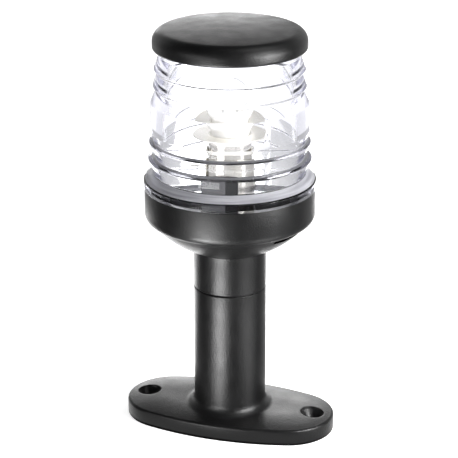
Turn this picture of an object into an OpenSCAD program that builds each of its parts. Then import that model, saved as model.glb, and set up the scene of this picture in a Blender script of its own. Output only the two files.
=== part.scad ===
// All-round navigation light on a fixed post.
// An oval foot carries a hollow post, a bowl with a bayonet-locked clear lens under a black cap,
// and a bayonet lampholder with its bulb. Sizes are in millimetres.
// The origin is the centre of the foot's underside, +Z is up and +X runs along the foot.

/* [Foot] */
// Length of the oval foot
foot_length = 78; // [74:1:90]
// Width of the oval foot
foot_width = 40; // [38:1:46]
// Radius of the foot's rounded ends
foot_end_r = 17; // [14:0.5:18]
// Thickness of the foot at its middle
foot_height = 7; // [6:0.2:9]
// Rounding of the foot's top edge
foot_edge_r = 1; // [0.8:0.1:2]
// How far the foot's crowned top falls towards its edge
foot_crown = 1.2; // [0.4:0.1:1.6]
// How far in from the edge the crown reaches
crown_reach = 13; // [10:0.5:13]
// Distance from each end of the foot to its fixing hole
hole_inset = 7.5; // [6.5:0.25:9]
// Diameter of the fixing holes
hole_d = 4.5; // [3.5:0.1:5.5]
// Diameter of the sunk screw-head seats
head_seat_d = 8.4; // [7:0.1:9.5]
// Depth of the straight part of the screw-head seats
head_seat_depth = 1.2; // [0.6:0.1:2]

/* [Post] */
// Outside diameter of the post and the neck
post_d = 26; // [24:0.5:28]
// Height of the seam between post and neck
post_height = 53.3; // [40:0.1:90]
// Wall of the post
post_wall = 3.5; // [2.5:0.25:4.5]
// Radius of the flare where the post meets the foot
post_flare_r = 3.5; // [1.5:0.25:4.5]
// Thickness of the web that closes the top of the post
post_web = 5; // [4:0.25:8]
// Diameter of the cable hole through the web
web_hole_d = 8; // [7:0.25:9]
// Bevel on both edges of the seam
seam_bevel = 0.4; // [0.2:0.05:0.8]

/* [Bowl] */
// Height of the straight neck
neck_height = 14.65; // [10:0.05:20]
// Wall of the neck
neck_wall = 3; // [2.5:0.1:3.5]
// Length of the spigot that locates the neck in the post
spigot_length = 4; // [3:0.25:6]
// Wall of the post around the spigot
spigot_lip = 2.6; // [2.4:0.1:3.2]
// Thickness of the neck's floor
neck_floor = 4.5; // [3.5:0.25:6]
// Height from the neck to the bowl's rim
bowl_depth = 23; // [22.5:0.25:28]
// Outside diameter of the rim
rim_d = 60.6; // [59:0.2:66]
// Height of the band from the rim down to the edge of the bell
band_height = 12.6; // [11.5:0.1:13.5]
// How far the edge of the bell lies inside the rim
bell_inset = 2.5; // [2:0.1:3.5]
// Rounding from the bell's edge into the band
band_corner_r = 3.2; // [2:0.1:4]
// Wall of the bowl under the rim
rim_wall = 2.2; // [1.8:0.1:2.6]
// Wall of the bell
bell_wall = 2.6; // [2:0.1:3.2]
// Height of the bowl's floor above the neck
floor_rise = 7.7; // [7:0.1:9]
// Direction of the crescent slot under the band
slot_angle = -20; // [-180:1:180]
// Length of the crescent slot as an angle
slot_span = 34; // [16:1:40]
// Height of the crescent slot
slot_height = 1.6; // [1.2:0.1:2.2]
// Depth of the crescent slot
slot_depth = 2.6; // [1.6:0.1:2.8]

/* [Lens lock] */
// Number of bayonet hooks
hook_count = 3; // [2:1:4]
// How far the hooks reach in from the bowl's wall
hook_reach = 1.6; // [1.2:0.1:2]
// Length of a hook as an angle
hook_span = 38; // [34:1:40]
// Thickness of hooks and lugs
hook_thick = 1.8; // [1.4:0.1:2.2]
// Depth of the hooks' top below the rim
hook_drop = 2.3; // [2:0.1:2.8]
// Turn that frees the lens
lens_turn = 40; // [38:1:42]

/* [Lens] */
// Wall of the skirt inside the bowl
skirt_wall = 2.2; // [1.8:0.1:2.6]
// How far the lens foot stands out from the rim
flange_lap = 0.2; // [0:0.05:0.5]
// Height of the straight lens foot
flange_height = 2.9; // [2.2:0.1:5]
// Height of the taper above the lens foot
taper_height = 2.65; // [2:0.05:4]
// Number of ribs below the belt
low_ribs = 2; // [1:1:3]
// Spacing of the ribs below the belt
low_pitch = 6; // [5:0.05:7]
// How far the lowest rib's crest lies inside the rim
low_crest_inset = 1.4; // [0.8:0.05:1.8]
// How far the ribs below the belt stand out from their grooves
low_depth = 2.3; // [1:0.05:2.6]
// Height of the step from a low rib's crest up to the groove behind it
low_step = 0.7; // [0.5:0.05:2]
// Height of the belt
belt_height = 9.7; // [8:0.1:14]
// How far the belt's lower edge lies inside the rim
belt_inset = 2.15; // [1.8:0.05:2.6]
// Draft of the belt over its height
belt_draft = 0.4; // [0.1:0.05:0.6]
// Number of ribs above the belt
top_ribs = 2; // [1:1:3]
// Spacing of the ribs above the belt
top_pitch = 6; // [5:0.05:7]
// How far the ribs above the belt stand out from their grooves
top_depth = 1.2; // [0.8:0.05:1.6]
// Height of the step from a groove above the belt up to the crest over it
top_rise = 1.2; // [0.8:0.05:2]
// Step of the crests inward from one rib to the next
crest_step = 0.4; // [0.2:0.05:0.5]
// Radius lost from the belt to the lens shoulder
shoulder_inset = 3.1; // [2.6:0.05:3.3]
// Wall of the lens at its shoulder
shoulder_wall = 2.5; // [2:0.1:2.8]
// Thickness of the lens roof
roof_thick = 2.5; // [2:0.1:3.5]

/* [Cap] */
// How far the cap overhangs the lens shoulder
cap_overhang = 2.35; // [1.6:0.05:3]
// Height of the cap
cap_height = 8.1; // [7.6:0.1:10]
// Rounding of the cap's shoulder
cap_shoulder_r = 4.2; // [3:0.1:4.8]
// Rise of the cap's crown above its shoulder
cap_crown = 1.1; // [0.5:0.1:1.4]
// Rounding of the cap's lower edge
cap_edge_r = 1.05; // [0.5:0.05:1.2]
// Height of the lens spigot inside the cap
cap_spigot_height = 4.1; // [3.6:0.1:4.4]

/* [Lampholder] */
// Turn of the lampholder about the post, seen from above
holder_angle = 18; // [-180:1:180]
// Wall of the holder's barrel
shell_wall = 0.5; // [0.4:0.05:0.8]
// Height of the barrel's rim above the bulb's pins
shell_over_pin = 8.3; // [6:0.1:10]
// Thickness of the stand's foot under the barrel
stand_foot = 4; // [3.5:0.25:4.5]
// Thickness of the stand's screw plate
stand_plate = 4; // [3:0.25:4.5]
// Width of the upright block
upright_width = 12.2; // [8:0.1:16]
// Front of the upright block from the axis
upright_front = 14.5; // [12:0.25:16]
// Top of the upright below the barrel's rim
upright_drop = 5.3; // [4:0.1:12]
// Bevel on the upright block's right front corner
upright_bevel = 4.3; // [1:0.1:5]
// Offset of the two contacts from the axis
contact_offset = 3.9; // [3.4:0.1:4.2]
// Diameter of the contact wells
well_d = 3.5; // [3.2:0.05:4]
// Room for the contact springs
spring_room = 3.8; // [3.6:0.1:4.4]
// Travel of the bulb when it is pressed
press_travel = 2; // [1.2:0.1:2.4]
// Wire diameter of the contact springs
spring_wire = 0.45; // [0.3:0.05:0.5]
// Turns of each contact spring
spring_turns = 3.5; // [2:0.5:4]
// Turn that frees the bulb
bulb_turn = 22; // [18:1:26]

/* [Bulb] */
// Diameter of the bulb's cap
bulb_cap_d = 15.1; // [14.5:0.05:15.6]
// Wall of the bulb's cap
bulb_cap_wall = 0.4; // [0.3:0.05:0.6]
// Diameter of the bulb's pins
pin_d = 2; // [1.6:0.1:2.2]
// Distance across the bulb's pins
pin_span = 17.3; // [17:0.05:17.6]
// Height of the filament above the pins
light_centre = 19; // [17:0.25:21]
// Distance from the pins down to the contacts
pin_drop = 6.8; // [6.2:0.1:7.4]
// Height of the collar under the disc
collar_height = 2.3; // [1.5:0.1:3]
// Diameter of the pale disc
disc_d = 26; // [20:0.5:30]
// Thickness of the disc and its collar
disc_thick = 0.5; // [0.4:0.05:0.8]
// Diameter of the glass ball
glass_d = 18; // [16:0.25:19]
// Wall of the glass
glass_wall = 0.6; // [0.4:0.05:0.8]
// Distance between the filament's ends
filament_length = 5.2; // [4.6:0.1:6]
// Turns of the filament
filament_turns = 6; // [3:1:6]

/* [Screws and seals] */
// Shank diameter of the small screws
screw_d = 2.9; // [2.4:0.1:3]
// Head diameter of the small screws
screw_head_d = 4.8; // [4:0.1:5]
// Head height of the small screws
screw_head_h = 1.9; // [1.4:0.1:2.2]
// Height of the seals
seal_height = 1; // [0.7:0.05:1.2]
// Width of the seals
seal_width = 1; // [0.7:0.05:1.2]
// Diameter of the grommet's flange
grommet_d = 8.8; // [7.6:0.1:9]
// Diameter of the grommet's cable hole
grommet_hole_d = 4; // [3:0.1:4.4]
// Thickness of the grommet's flange
grommet_flange = 1.2; // [0.8:0.1:1.6]

/* [Fits] */
// Gap between faces that turn or slide on each other
run_gap = 0.3; // [0.25:0.05:0.4]
// Gap between faces that are fitted together
fit_gap = 0.05; // [0.02:0.01:0.1]
// Gap between the rim and the lens, taken up by the gasket
seat_gap = 0.1; // [0.05:0.05:0.2]

/* [Hidden] */
$fn = 96;
cut = 1;
black = "#1d1d1f";
dark = "#3a3a3c";
steel = "#b9bcc0";
nickel = "#cfd0cc";
brass = "#b99b52";
rubber = "#141414";
clear = "#dfe8ea";

// Foot outline: end arcs that run smoothly into wide side arcs
end_x = foot_length / 2 - foot_end_r;
side_r = (end_x * end_x + pow(foot_width / 2, 2) - foot_end_r * foot_end_r)
    / (foot_width - 2 * foot_end_r);
side_y = side_r - foot_width / 2;
side_half = atan(end_x / side_y);
// Height of the crowned top at an inset from the outline
function crown_z(inset) = foot_height - foot_crown * pow(1 - min(inset / crown_reach, 1), 2);
hole_x = foot_length / 2 - hole_inset;
seat_cone = (head_seat_d - hole_d) / 2;

// Post and neck
post_r = post_d / 2;
post_bore_r = post_r - post_wall;
flare_r = min(post_flare_r, foot_width / 2 - foot_edge_r - post_r);
flare_z = crown_z(foot_width / 2 - post_r - flare_r);
socket_r = post_r - spigot_lip;
spigot_r = socket_r - fit_gap;
spigot_z = post_height - spigot_length + fit_gap;
socket_z = post_height - spigot_length;
web_z = socket_z - post_web;
neck_r = post_r - neck_wall;
neck_floor_z = spigot_z + neck_floor;
neck_top = post_height + neck_height;
neck_seal_r = (socket_r + post_r) / 2;
seal_land = 0.25;
neck_seal_w = min(seal_width, spigot_lip - 2 * seam_bevel - 2 * seal_land);
neck_screw_x = neck_r - screw_head_d / 2 - run_gap;

// Bowl: the bell is part of a ball about a point on the axis
rim_z = neck_top + bowl_depth;
rim_r = rim_d / 2;
bell_edge_r = rim_r - bell_inset;
bell_edge_z = rim_z - band_height;
bell_rise = bell_edge_z - neck_top;
bell_up = (pow(bell_edge_r, 2) + pow(bell_rise, 2) - pow(post_r, 2)) / (2 * bell_rise);
bell_z = neck_top + bell_up;
bell_r = norm([post_r, bell_up]);
inner_r = bell_r - bell_wall;
floor_z = neck_top + floor_rise;
floor_r = sqrt(inner_r * inner_r - pow(bell_z - floor_z, 2));
bore_r = rim_r - rim_wall;

// Bayonet lock: hooks in the bowl, lugs on the lens skirt
hook_top = rim_z - hook_drop;
hook_z = hook_top - hook_thick;
hook_r = bore_r - hook_reach;
lug_z = hook_z - run_gap - hook_thick;
lug_r = bore_r - run_gap;
free_gap = 7;
lock_gap = 1;
lug_span = 2 * (lens_turn - free_gap) - hook_span;
stop_angle = -lug_span / 2 - lock_gap;
skirt_r = hook_r - run_gap;
skirt_in = skirt_r - skirt_wall;
ledge_z = lug_z - 2 * run_gap;
ledge_r = min(bore_r, sqrt(inner_r * inner_r - pow(bell_z - ledge_z, 2)));
stop_span = 2;
stop_set = 0.2;
hook_root = 1.3;
hook_root_r = bore_r + hook_root;
slot_lip = 0.15;
corner_from = -70;
gasket_r = bore_r + rim_wall / 2;
grommet_wall = 1.4;
grommet_body_r = grommet_hole_d / 2 + grommet_wall;

// Lens heights, from the rim upward
lens_z = rim_z + seat_gap;
flange_r = rim_r + flange_lap;
flange_top = lens_z + flange_height;
belt_step = 3.8;
belt_r = rim_r - belt_inset;
belt_top_r = belt_r - belt_draft;
low_crest = rim_r - low_crest_inset;
first_low = flange_top + taper_height;
last_low = first_low + low_ribs * low_pitch;
belt_z = last_low + belt_step;
belt_top = belt_z + belt_height;
top_step = 4.7;
shoulder_lead = 2.15;
first_top = belt_top + top_step;
shoulder_z = first_top + top_ribs * top_pitch + shoulder_lead;
shoulder_r = belt_top_r - shoulder_inset;
top_crest_out = 2.25;
top_crest = shoulder_r + top_crest_out;
shoulder_land = 1.9;
belt_notch = 1.25;
lens_in_r = shoulder_r - shoulder_wall;
roof_top = shoulder_z + cap_spigot_height;
roof_z = roof_top - roof_thick;

// Cap
cap_step = 0.4;
cap_spigot_r = shoulder_r - cap_step;
cap_r = shoulder_r + cap_overhang;
cap_top = shoulder_z + cap_height;
cap_room = 1;
cap_roof = roof_top + cap_room;
cap_seal_z = shoulder_z + cap_spigot_height / 2 - seal_height / 2;
boss_wall = 2.4;
boss_r = screw_d / 2 + boss_wall;
boss_height = 1.9;
cap_thread = 1.5;

// Bulb and lampholder heights, set by the filament at the middle of the belt
focus_z = belt_z + belt_height / 2;
pin_z = focus_z - light_centre;
contact_z = pin_z - pin_drop;
shell_top = pin_z + shell_over_pin;
shell_z = floor_z + stand_foot;
shell_in = bulb_cap_d / 2 + run_gap;
shell_r = shell_in + shell_wall;
carrier_z = shell_z + fit_gap;
carrier_r = shell_in - fit_gap;
pin_r = pin_d / 2;
slot_half = pin_r + run_gap;
slot_half_angle = asin(slot_half / shell_in);
slot_low = pin_z - press_travel - slot_half;

// Stand under and in front of the barrel
stand_socket_r = shell_r + fit_gap;
stand_collar_wall = 1.6;
stand_collar_r = stand_socket_r + stand_collar_wall;
socket_depth = 4;
stand_collar_top = shell_z + socket_depth;
stand_screw_x = stand_collar_r + screw_head_d / 2 + run_gap;
stand_edge = 0.7;
stand_r = stand_screw_x + screw_head_d / 2 + stand_edge;
upright_share = 0.784;
upright_left = -upright_share * upright_width;
upright_right = upright_left + upright_width;
upright_back = 6.5;
upright_top = shell_top - upright_drop;
stand_plate_top = floor_z + stand_plate;
pilot_depth = 5;

// Contacts
well_r = well_d / 2;
lip_thick = 0.8;
plunger_collar_r = well_r - run_gap;
plunger_step = 0.35;
plunger_r = plunger_collar_r - plunger_step;
plunger_collar_h = 1.6;
plunger_gap = 0.7;
tab_head = 0.5;
tab_width = 2.6;
tab_thick = 0.5;
tab_drop = 6;
spring_z = carrier_z + tab_head + fit_gap;
spring_r = plunger_collar_r - spring_wire / 2;
plunger_z = spring_z + spring_room + fit_gap;
carrier_top = plunger_z + plunger_collar_h + plunger_gap + lip_thick;

// Bulb
cap_shell_r = bulb_cap_d / 2;
cap_shell_in = cap_shell_r - bulb_cap_wall;
insulator_drop = 1.5;
insulator_depth = 1.8;
pad_height = 0.5;
cap_shell_z = contact_z + insulator_drop;
insulator_top = cap_shell_z + insulator_depth;
collar_z = shell_top + press_travel + run_gap;
disc_z = collar_z + collar_height;
disc_top = disc_z + disc_thick;
glass_r = glass_d / 2;
glass_lift = 1.3;
glass_z = focus_z + glass_lift;
neck_room = 0.25;
glass_neck_r = cap_shell_in - neck_room;
glass_neck_in = glass_neck_r - glass_wall;
glass_foot_drop = 6;
glass_foot = disc_z - glass_foot_drop;
neck_meet = glass_z - sqrt(glass_r * glass_r - glass_neck_r * glass_neck_r);
ball_in = glass_r - glass_wall;
neck_meet_in = glass_z - sqrt(ball_in * ball_in - glass_neck_in * glass_neck_in);
stem_drop = 4.5;
stem_top = focus_z - stem_drop;
lead_r = 0.3;
lead_foot = insulator_top + run_gap;
lead_top = focus_z + lead_r;
filament_wire = 0.2;
filament_r = 0.5;

// Points on an arc in the plane of a turned outline
function arc(cx, cz, r, from, to, n) = [
    for (i = [0:n]) let (a = from + (to - from) * i / n) [cx + r * cos(a), cz + r * sin(a)]
];

// Centre of a coil's wire at step i of n
function coil_at(r, rise, turns, i, n) = [
    r * cos(360 * turns * i / n), r * sin(360 * turns * i / n), rise * i / n
];

// Least free gap between points of a coil that lie half a turn or more apart
function coil_gap(r, rise, turns, wire, steps) = let (n = turns * steps) min([
    for (i = [0:n]) for (j = [i + steps / 2:1:n])
        norm(coil_at(r, rise, turns, i, n) - coil_at(r, rise, turns, j, n)) - wire
]);

// One unbroken tube wound about Z, its wire resting on z = 0 and reaching up to height
module coil(r, height, turns, wire, steps = 8, sides = 6) {
    n = turns * steps;
    rise = height - wire;
    points = [
        for (i = [0:n]) for (k = [0:sides - 1])
            let (a = 360 * turns * i / n, b = 360 * k / sides, c = coil_at(r, rise, turns, i, n))
            c + wire / 2 * [cos(b) * cos(a), cos(b) * sin(a), sin(b) + 1]
    ];
    walls = [
        for (i = [0:n - 1]) for (k = [0:sides - 1])
            let (p = i * sides + k, q = i * sides + (k + 1) % sides)
            each [[p, q, q + sides], [p, q + sides, p + sides]]
    ];
    first = [for (k = [1:sides - 2]) [0, k + 1, k]];
    last = [for (k = [1:sides - 2]) [n * sides, n * sides + k, n * sides + k + 1]];
    polyhedron(points, concat(walls, first, last));
}

// Ring of rectangular section
module ring(r_in, r_out, z, height) {
    rotate_extrude()
        translate([r_in, z])
            square([r_out - r_in, height]);
}

// Part of a ring, from one angle to another
module ring_part(r_in, r_out, z, height, from, to) {
    rotate([0, 0, from])
        rotate_extrude(angle = to - from)
            translate([r_in, z])
                square([r_out - r_in, height]);
}

// Pan-head screw with its seat at z = 0 and its shank running down
module pan_screw(length) {
    head_r = screw_head_d / 2;
    drive_r = screw_d / 4;
    difference() {
        union() {
            rotate_extrude()
                polygon(concat(
                    [[0, 0], [head_r, 0]],
                    arc(head_r - screw_head_h / 2, screw_head_h / 2, screw_head_h / 2, 0, 90, 6),
                    [[0, screw_head_h]]
                ));
            translate([0, 0, -length])
                cylinder(r = screw_d / 2, h = length + screw_head_h / 2);
        }
        for (turn = [0, 90])
            rotate([0, 0, turn])
                translate([-screw_head_d / 3, -drive_r / 2, screw_head_h * 0.45])
                    cube([screw_head_d / 1.5, drive_r, screw_head_h]);
    }
}

// Arc without its last point, to be followed by the next arc of an outline
function open_arc(cx, cy, r, from, to, n) = [
    for (i = [0:n - 1]) let (a = from + (to - from) * i / n) [cx + r * cos(a), cy + r * sin(a)]
];

// Outline of the foot, drawn in by an inset: end arcs joined by wide side arcs
function foot_outline(inset) = concat(
    open_arc(end_x, 0, foot_end_r - inset, side_half - 90, 90 - side_half, 24),
    open_arc(0, -side_y, side_r - inset, 90 - side_half, 90 + side_half, 10),
    open_arc(-end_x, 0, foot_end_r - inset, side_half + 90, 270 - side_half, 24),
    open_arc(0, side_y, side_r - inset, 270 - side_half, 270 + side_half, 10)
);

// Foot plate with a rounded edge and a crowned top, as rings of points from the underside up
module foot_plate() {
    edge_steps = 4;
    crown_steps = 6;
    edge_z = crown_z(foot_edge_r) - foot_edge_r;
    levels = concat(
        [[0, 0]],
        [
            for (i = [0:edge_steps]) let (a = 90 * i / edge_steps)
                [foot_edge_r * (1 - cos(a)), edge_z + foot_edge_r * sin(a)]
        ],
        [
            for (i = [1:crown_steps])
                let (inset = foot_edge_r + (crown_reach - foot_edge_r) * i / crown_steps)
                    [inset, crown_z(inset)]
        ]
    );
    n = len(foot_outline(0));
    last = len(levels) - 1;
    points = [for (level = levels) for (p = foot_outline(level[0])) [p[0], p[1], level[1]]];
    walls = [
        for (k = [0:last - 1]) for (i = [0:n - 1]) let (a = k * n + i, b = k * n + (i + 1) % n)
            [a, a + n, b + n, b]
    ];
    underside = [for (i = [0:n - 1]) i];
    top = [for (i = [n - 1:-1:0]) last * n + i];
    polyhedron(points, concat(walls, [underside, top]));
}

module pedestal() {
    color(black)
        difference() {
            union() {
                foot_plate();
                rotate_extrude()
                    polygon(concat(
                        [[0, 0], [post_r + flare_r, 0]],
                        arc(post_r + flare_r, flare_z + flare_r, flare_r, 270, 180, 10),
                        [[post_r, post_height - seam_bevel], [post_r - seam_bevel, post_height],
                            [0, post_height]]
                    ));
            }
            translate([0, 0, -cut])
                cylinder(r = post_bore_r, h = web_z + cut);
            cylinder(d = web_hole_d, h = post_height);
            translate([0, 0, socket_z])
                cylinder(r = socket_r, h = spigot_length + cut);
            ring(neck_seal_r - neck_seal_w / 2 - fit_gap, neck_seal_r + neck_seal_w / 2 + fit_gap,
                post_height - seal_height, seal_height + cut);
            for (side = [-1, 1]) {
                translate([side * neck_screw_x, 0, 0])
                    cylinder(d = screw_d + 2 * fit_gap, h = post_height);
                translate([side * hole_x, 0, 0])
                    fixing_hole();
            }
        }
}

// Hole with a straight seat and a cone under the screw head
module fixing_hole() {
    seat_z = foot_height - head_seat_depth;
    translate([0, 0, -cut])
        cylinder(d = hole_d, h = foot_height + 2 * cut);
    translate([0, 0, seat_z])
        cylinder(d = head_seat_d, h = head_seat_depth + cut);
    translate([0, 0, seat_z - seat_cone])
        cylinder(d1 = hole_d, d2 = head_seat_d, h = seat_cone);
}

module bowl_shell() {
    corner_z = bell_edge_z + band_corner_r;
    rotate_extrude()
        polygon(concat(
            [[0, spigot_z], [spigot_r, spigot_z], [spigot_r, post_height],
                [post_r - seam_bevel, post_height], [post_r, post_height + seam_bevel]],
            arc(0, bell_z, bell_r, -acos(post_r / bell_r), -acos(bell_edge_r / bell_r), 16),
            arc(rim_r - band_corner_r, corner_z, band_corner_r, corner_from, 0, 8),
            [[rim_r, rim_z], [bore_r, rim_z]],
            ledge_r < bore_r ? [[bore_r, ledge_z]] : [],
            arc(0, bell_z, inner_r, -acos(ledge_r / inner_r), -acos(floor_r / inner_r), 16),
            [[neck_r, floor_z], [neck_r, neck_floor_z], [0, neck_floor_z]]
        ));
}

module hooks() {
    for (i = [0:hook_count - 1])
        rotate([0, 0, slot_angle + 360 * i / hook_count]) {
            ring_part(hook_r, hook_root_r, hook_z, hook_thick, -hook_span / 2, hook_span / 2);
            ring_part(hook_r + stop_set, hook_root_r - stop_set, lug_z, hook_top - hook_thick / 2 - lug_z,
                stop_angle - stop_span, stop_angle);
        }
}

module bowl() {
    color(black)
        difference() {
            union() {
                bowl_shell();
                hooks();
            }
            gasket_groove();
            ring_part(bell_edge_r - slot_depth, rim_r, bell_edge_z - slot_lip - slot_height, slot_height,
                slot_angle - slot_span / 2, slot_angle + slot_span / 2);
            translate([0, 0, spigot_z - cut])
                cylinder(r = grommet_body_r + fit_gap, h = neck_floor + 2 * cut);
            for (side = [-1, 1]) {
                translate([side * neck_screw_x, 0, spigot_z - cut])
                    cylinder(d = screw_d + 2 * fit_gap, h = neck_floor + 2 * cut);
                rotate([0, 0, holder_angle])
                    translate([side * stand_screw_x, 0, floor_z - pilot_depth])
                        cylinder(d = screw_d + 2 * fit_gap, h = pilot_depth + cut);
            }
        }
}

module gasket_groove() {
    ring(gasket_r - seal_width / 2 - fit_gap, gasket_r + seal_width / 2 + fit_gap,
        rim_z - seal_height, seal_height + cut);
}

module lens_gasket() {
    color(rubber)
        ring(gasket_r - seal_width / 2, gasket_r + seal_width / 2, rim_z - seal_height,
            seal_height + seat_gap);
}

module neck_seal() {
    color(rubber)
        ring(neck_seal_r - neck_seal_w / 2, neck_seal_r + neck_seal_w / 2,
            post_height - seal_height, seal_height);
}

module neck_screws() {
    color(steel)
        for (side = [-1, 1])
            translate([side * neck_screw_x, 0, neck_floor_z])
                pan_screw(neck_floor_z - web_z);
}

module cable_grommet() {
    color(rubber)
        rotate_extrude()
            polygon([
                [grommet_hole_d / 2, spigot_z], [grommet_body_r, spigot_z],
                [grommet_body_r, neck_floor_z],
                [grommet_d / 2, neck_floor_z], [grommet_d / 2, neck_floor_z + grommet_flange / 2],
                [grommet_d / 2 - grommet_flange / 2, neck_floor_z + grommet_flange],
                [grommet_hole_d / 2, neck_floor_z + grommet_flange]
            ]);
}

// Places a piece in the lampholder's own frame, with its front towards -Y
module in_holder() {
    rotate([0, 0, holder_angle])
        children();
}

module upright_section() {
    polygon([
        [upright_left, -upright_back], [upright_left, -upright_front],
        [upright_right - upright_bevel, -upright_front], [upright_right, upright_bevel - upright_front],
        [upright_right, -upright_back]
    ]);
}

module holder_stand() {
    color(dark)
        in_holder()
            difference() {
                union() {
                    translate([0, 0, floor_z])
                        cylinder(r = stand_r, h = stand_plate);
                    translate([0, 0, floor_z])
                        cylinder(r = stand_collar_r, h = stand_collar_top - floor_z);
                    translate([0, 0, floor_z])
                        linear_extrude(upright_top - floor_z)
                            upright_section();
                }
                translate([0, 0, shell_z])
                    cylinder(r = stand_socket_r, h = shell_top - shell_z);
                for (side = [-1, 1]) {
                    translate([side * stand_screw_x, 0, floor_z - cut])
                        cylinder(d = screw_d + 2 * fit_gap, h = stand_plate + 2 * cut);
                    translate([side * contact_offset, 0, shell_z])
                        cube([tab_thick + 2 * fit_gap, tab_width + 2 * fit_gap, 2 * stand_foot + cut],
                            center = true);
                }
            }
}

module stand_screws() {
    color(steel)
        in_holder()
            for (side = [-1, 1])
                translate([side * stand_screw_x, 0, stand_plate_top])
                    pan_screw(stand_plate + pilot_depth - run_gap);
}

module holder_shell() {
    ear_reach = 5;
    ear_width = 3;
    ear_thick = 0.6;
    ear_drop = 1.8;
    ear_z = shell_top - ear_drop;
    color(nickel)
        in_holder()
            difference() {
                union() {
                    ring(shell_in, shell_r, shell_z, shell_top - shell_z);
                    translate([-shell_r - ear_reach, -ear_width / 2, ear_z])
                        cube([ear_reach + shell_wall / 2, ear_width, ear_thick]);
                }
                for (turn = [0, 180])
                    rotate([0, 0, turn]) {
                        ring_part(shell_in - cut, shell_r + cut, slot_low, pin_z + slot_half - slot_low,
                            -slot_half_angle, bulb_turn);
                        rotate([0, 0, bulb_turn])
                            translate([0, -slot_half, slot_low])
                                cube([shell_r + cut, 2 * slot_half, shell_top - slot_low + cut]);
                    }
            }
}

module contact_carrier() {
    color(dark)
        in_holder()
            difference() {
                translate([0, 0, carrier_z])
                    cylinder(r = carrier_r, h = carrier_top - carrier_z);
                for (side = [-1, 1])
                    translate([side * contact_offset, 0, carrier_z]) {
                        translate([0, 0, -cut])
                            cylinder(r = well_r, h = carrier_top - lip_thick - carrier_z + cut);
                        cylinder(r = plunger_r + run_gap, h = carrier_top - carrier_z + cut);
                    }
            }
}

module contact_springs() {
    color(steel)
        in_holder()
            for (side = [-1, 1])
                translate([side * contact_offset, 0, spring_z])
                    coil(spring_r, spring_room, spring_turns, spring_wire);
}

module terminal_tabs() {
    color(brass)
        in_holder()
            for (side = [-1, 1])
                translate([side * contact_offset, 0, 0]) {
                    translate([0, 0, carrier_z])
                        cylinder(r = well_r - fit_gap, h = tab_head);
                    translate([-tab_thick / 2, -tab_width / 2, floor_z - tab_drop])
                        cube([tab_thick, tab_width, carrier_z + tab_head - floor_z + tab_drop]);
                }
}

module contact_plungers() {
    color(brass)
        in_holder()
            for (side = [-1, 1])
                translate([side * contact_offset, 0, plunger_z]) {
                    cylinder(r = plunger_collar_r, h = plunger_collar_h);
                    cylinder(r = plunger_r, h = contact_z - plunger_z);
                }
}

module bulb_cap() {
    color(brass)
        in_holder()
            ring(cap_shell_in, cap_shell_r, cap_shell_z, disc_top - cap_shell_z);
}

module bulb_pins() {
    color(brass)
        in_holder()
            for (turn = [0, 180])
                rotate([0, 0, turn])
                    translate([cap_shell_in, 0, pin_z])
                        rotate([0, 90, 0])
                            cylinder(r = pin_r, h = pin_span / 2 - cap_shell_in);
}

module bulb_insulator() {
    taper = 1.2;
    color("#2b2723")
        in_holder()
            rotate_extrude()
                polygon([
                    [0, contact_z + pad_height], [cap_shell_in - taper, contact_z + pad_height],
                    [cap_shell_in - fit_gap, cap_shell_z], [cap_shell_in - fit_gap, insulator_top],
                    [0, insulator_top]
                ]);
}

module bulb_contacts() {
    pad_r = 1.4;
    color(steel)
        in_holder()
            for (side = [-1, 1])
                translate([side * contact_offset, 0, contact_z])
                    cylinder(r1 = pad_r - pad_height / 2, r2 = pad_r, h = pad_height);
}

module bulb_flange() {
    inner = cap_shell_r + fit_gap;
    color("#e8e4d4")
        in_holder()
            rotate_extrude()
                polygon([
                    [inner, collar_z], [inner + disc_thick, collar_z], [inner + disc_thick, disc_z],
                    [disc_d / 2, disc_z], [disc_d / 2, disc_top], [inner, disc_top]
                ]);
}

module bulb_glass() {
    out_from = -acos(glass_neck_r / glass_r);
    in_from = -acos(glass_neck_in / ball_in);
    color(clear, 0.4)
        in_holder()
            rotate_extrude()
                polygon(concat(
                    [[glass_neck_in, glass_foot], [glass_neck_r, glass_foot]],
                    arc(0, glass_z, glass_r, out_from, 90, 24),
                    arc(0, glass_z, ball_in, 90, in_from, 24)
                ));
}

module bulb_stem() {
    flare = glass_neck_in - fit_gap;
    flare_edge = 0.8;
    press = 1.4;
    bevel = 0.6;
    rod = filament_length / 2 + 2.5 * lead_r;
    color(clear, 0.6)
        in_holder()
            difference() {
                rotate_extrude()
                    polygon([
                        [0, glass_foot], [flare, glass_foot], [flare, glass_foot + flare_edge],
                        [rod, stem_top - bevel - press], [rod, stem_top - bevel],
                        [rod - bevel, stem_top], [0, stem_top]
                    ]);
                for (side = [-1, 1])
                    translate([side * filament_length / 2, 0, glass_foot - cut])
                        cylinder(r = lead_r + fit_gap, h = stem_top - glass_foot + 2 * cut, $fn = 24);
            }
}

module filament_leads() {
    color(steel)
        in_holder()
            for (side = [-1, 1])
                translate([side * filament_length / 2, 0, lead_foot])
                    cylinder(r = lead_r, h = lead_top - lead_foot, $fn = 24);
}

module filament() {
    span = filament_length - 2 * lead_r + 2 * fit_gap;
    color("#8d8d8d")
        in_holder()
            translate([-span / 2, 0, focus_z])
                rotate([0, 90, 0])
                    translate([-filament_r, 0, 0])
                        coil(filament_r, span, filament_turns, filament_wire);
}

// Prism ribs: from each groove the wall leans out over rise to the crest, and returns to the next groove
function ribs(count, z, pitch, crest, depth, rise) = [
    for (i = [0:count - 1]) let (r = crest - i * crest_step, groove = z + i * pitch)
        each [[r - depth, groove], [r, groove + rise]]
];

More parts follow.
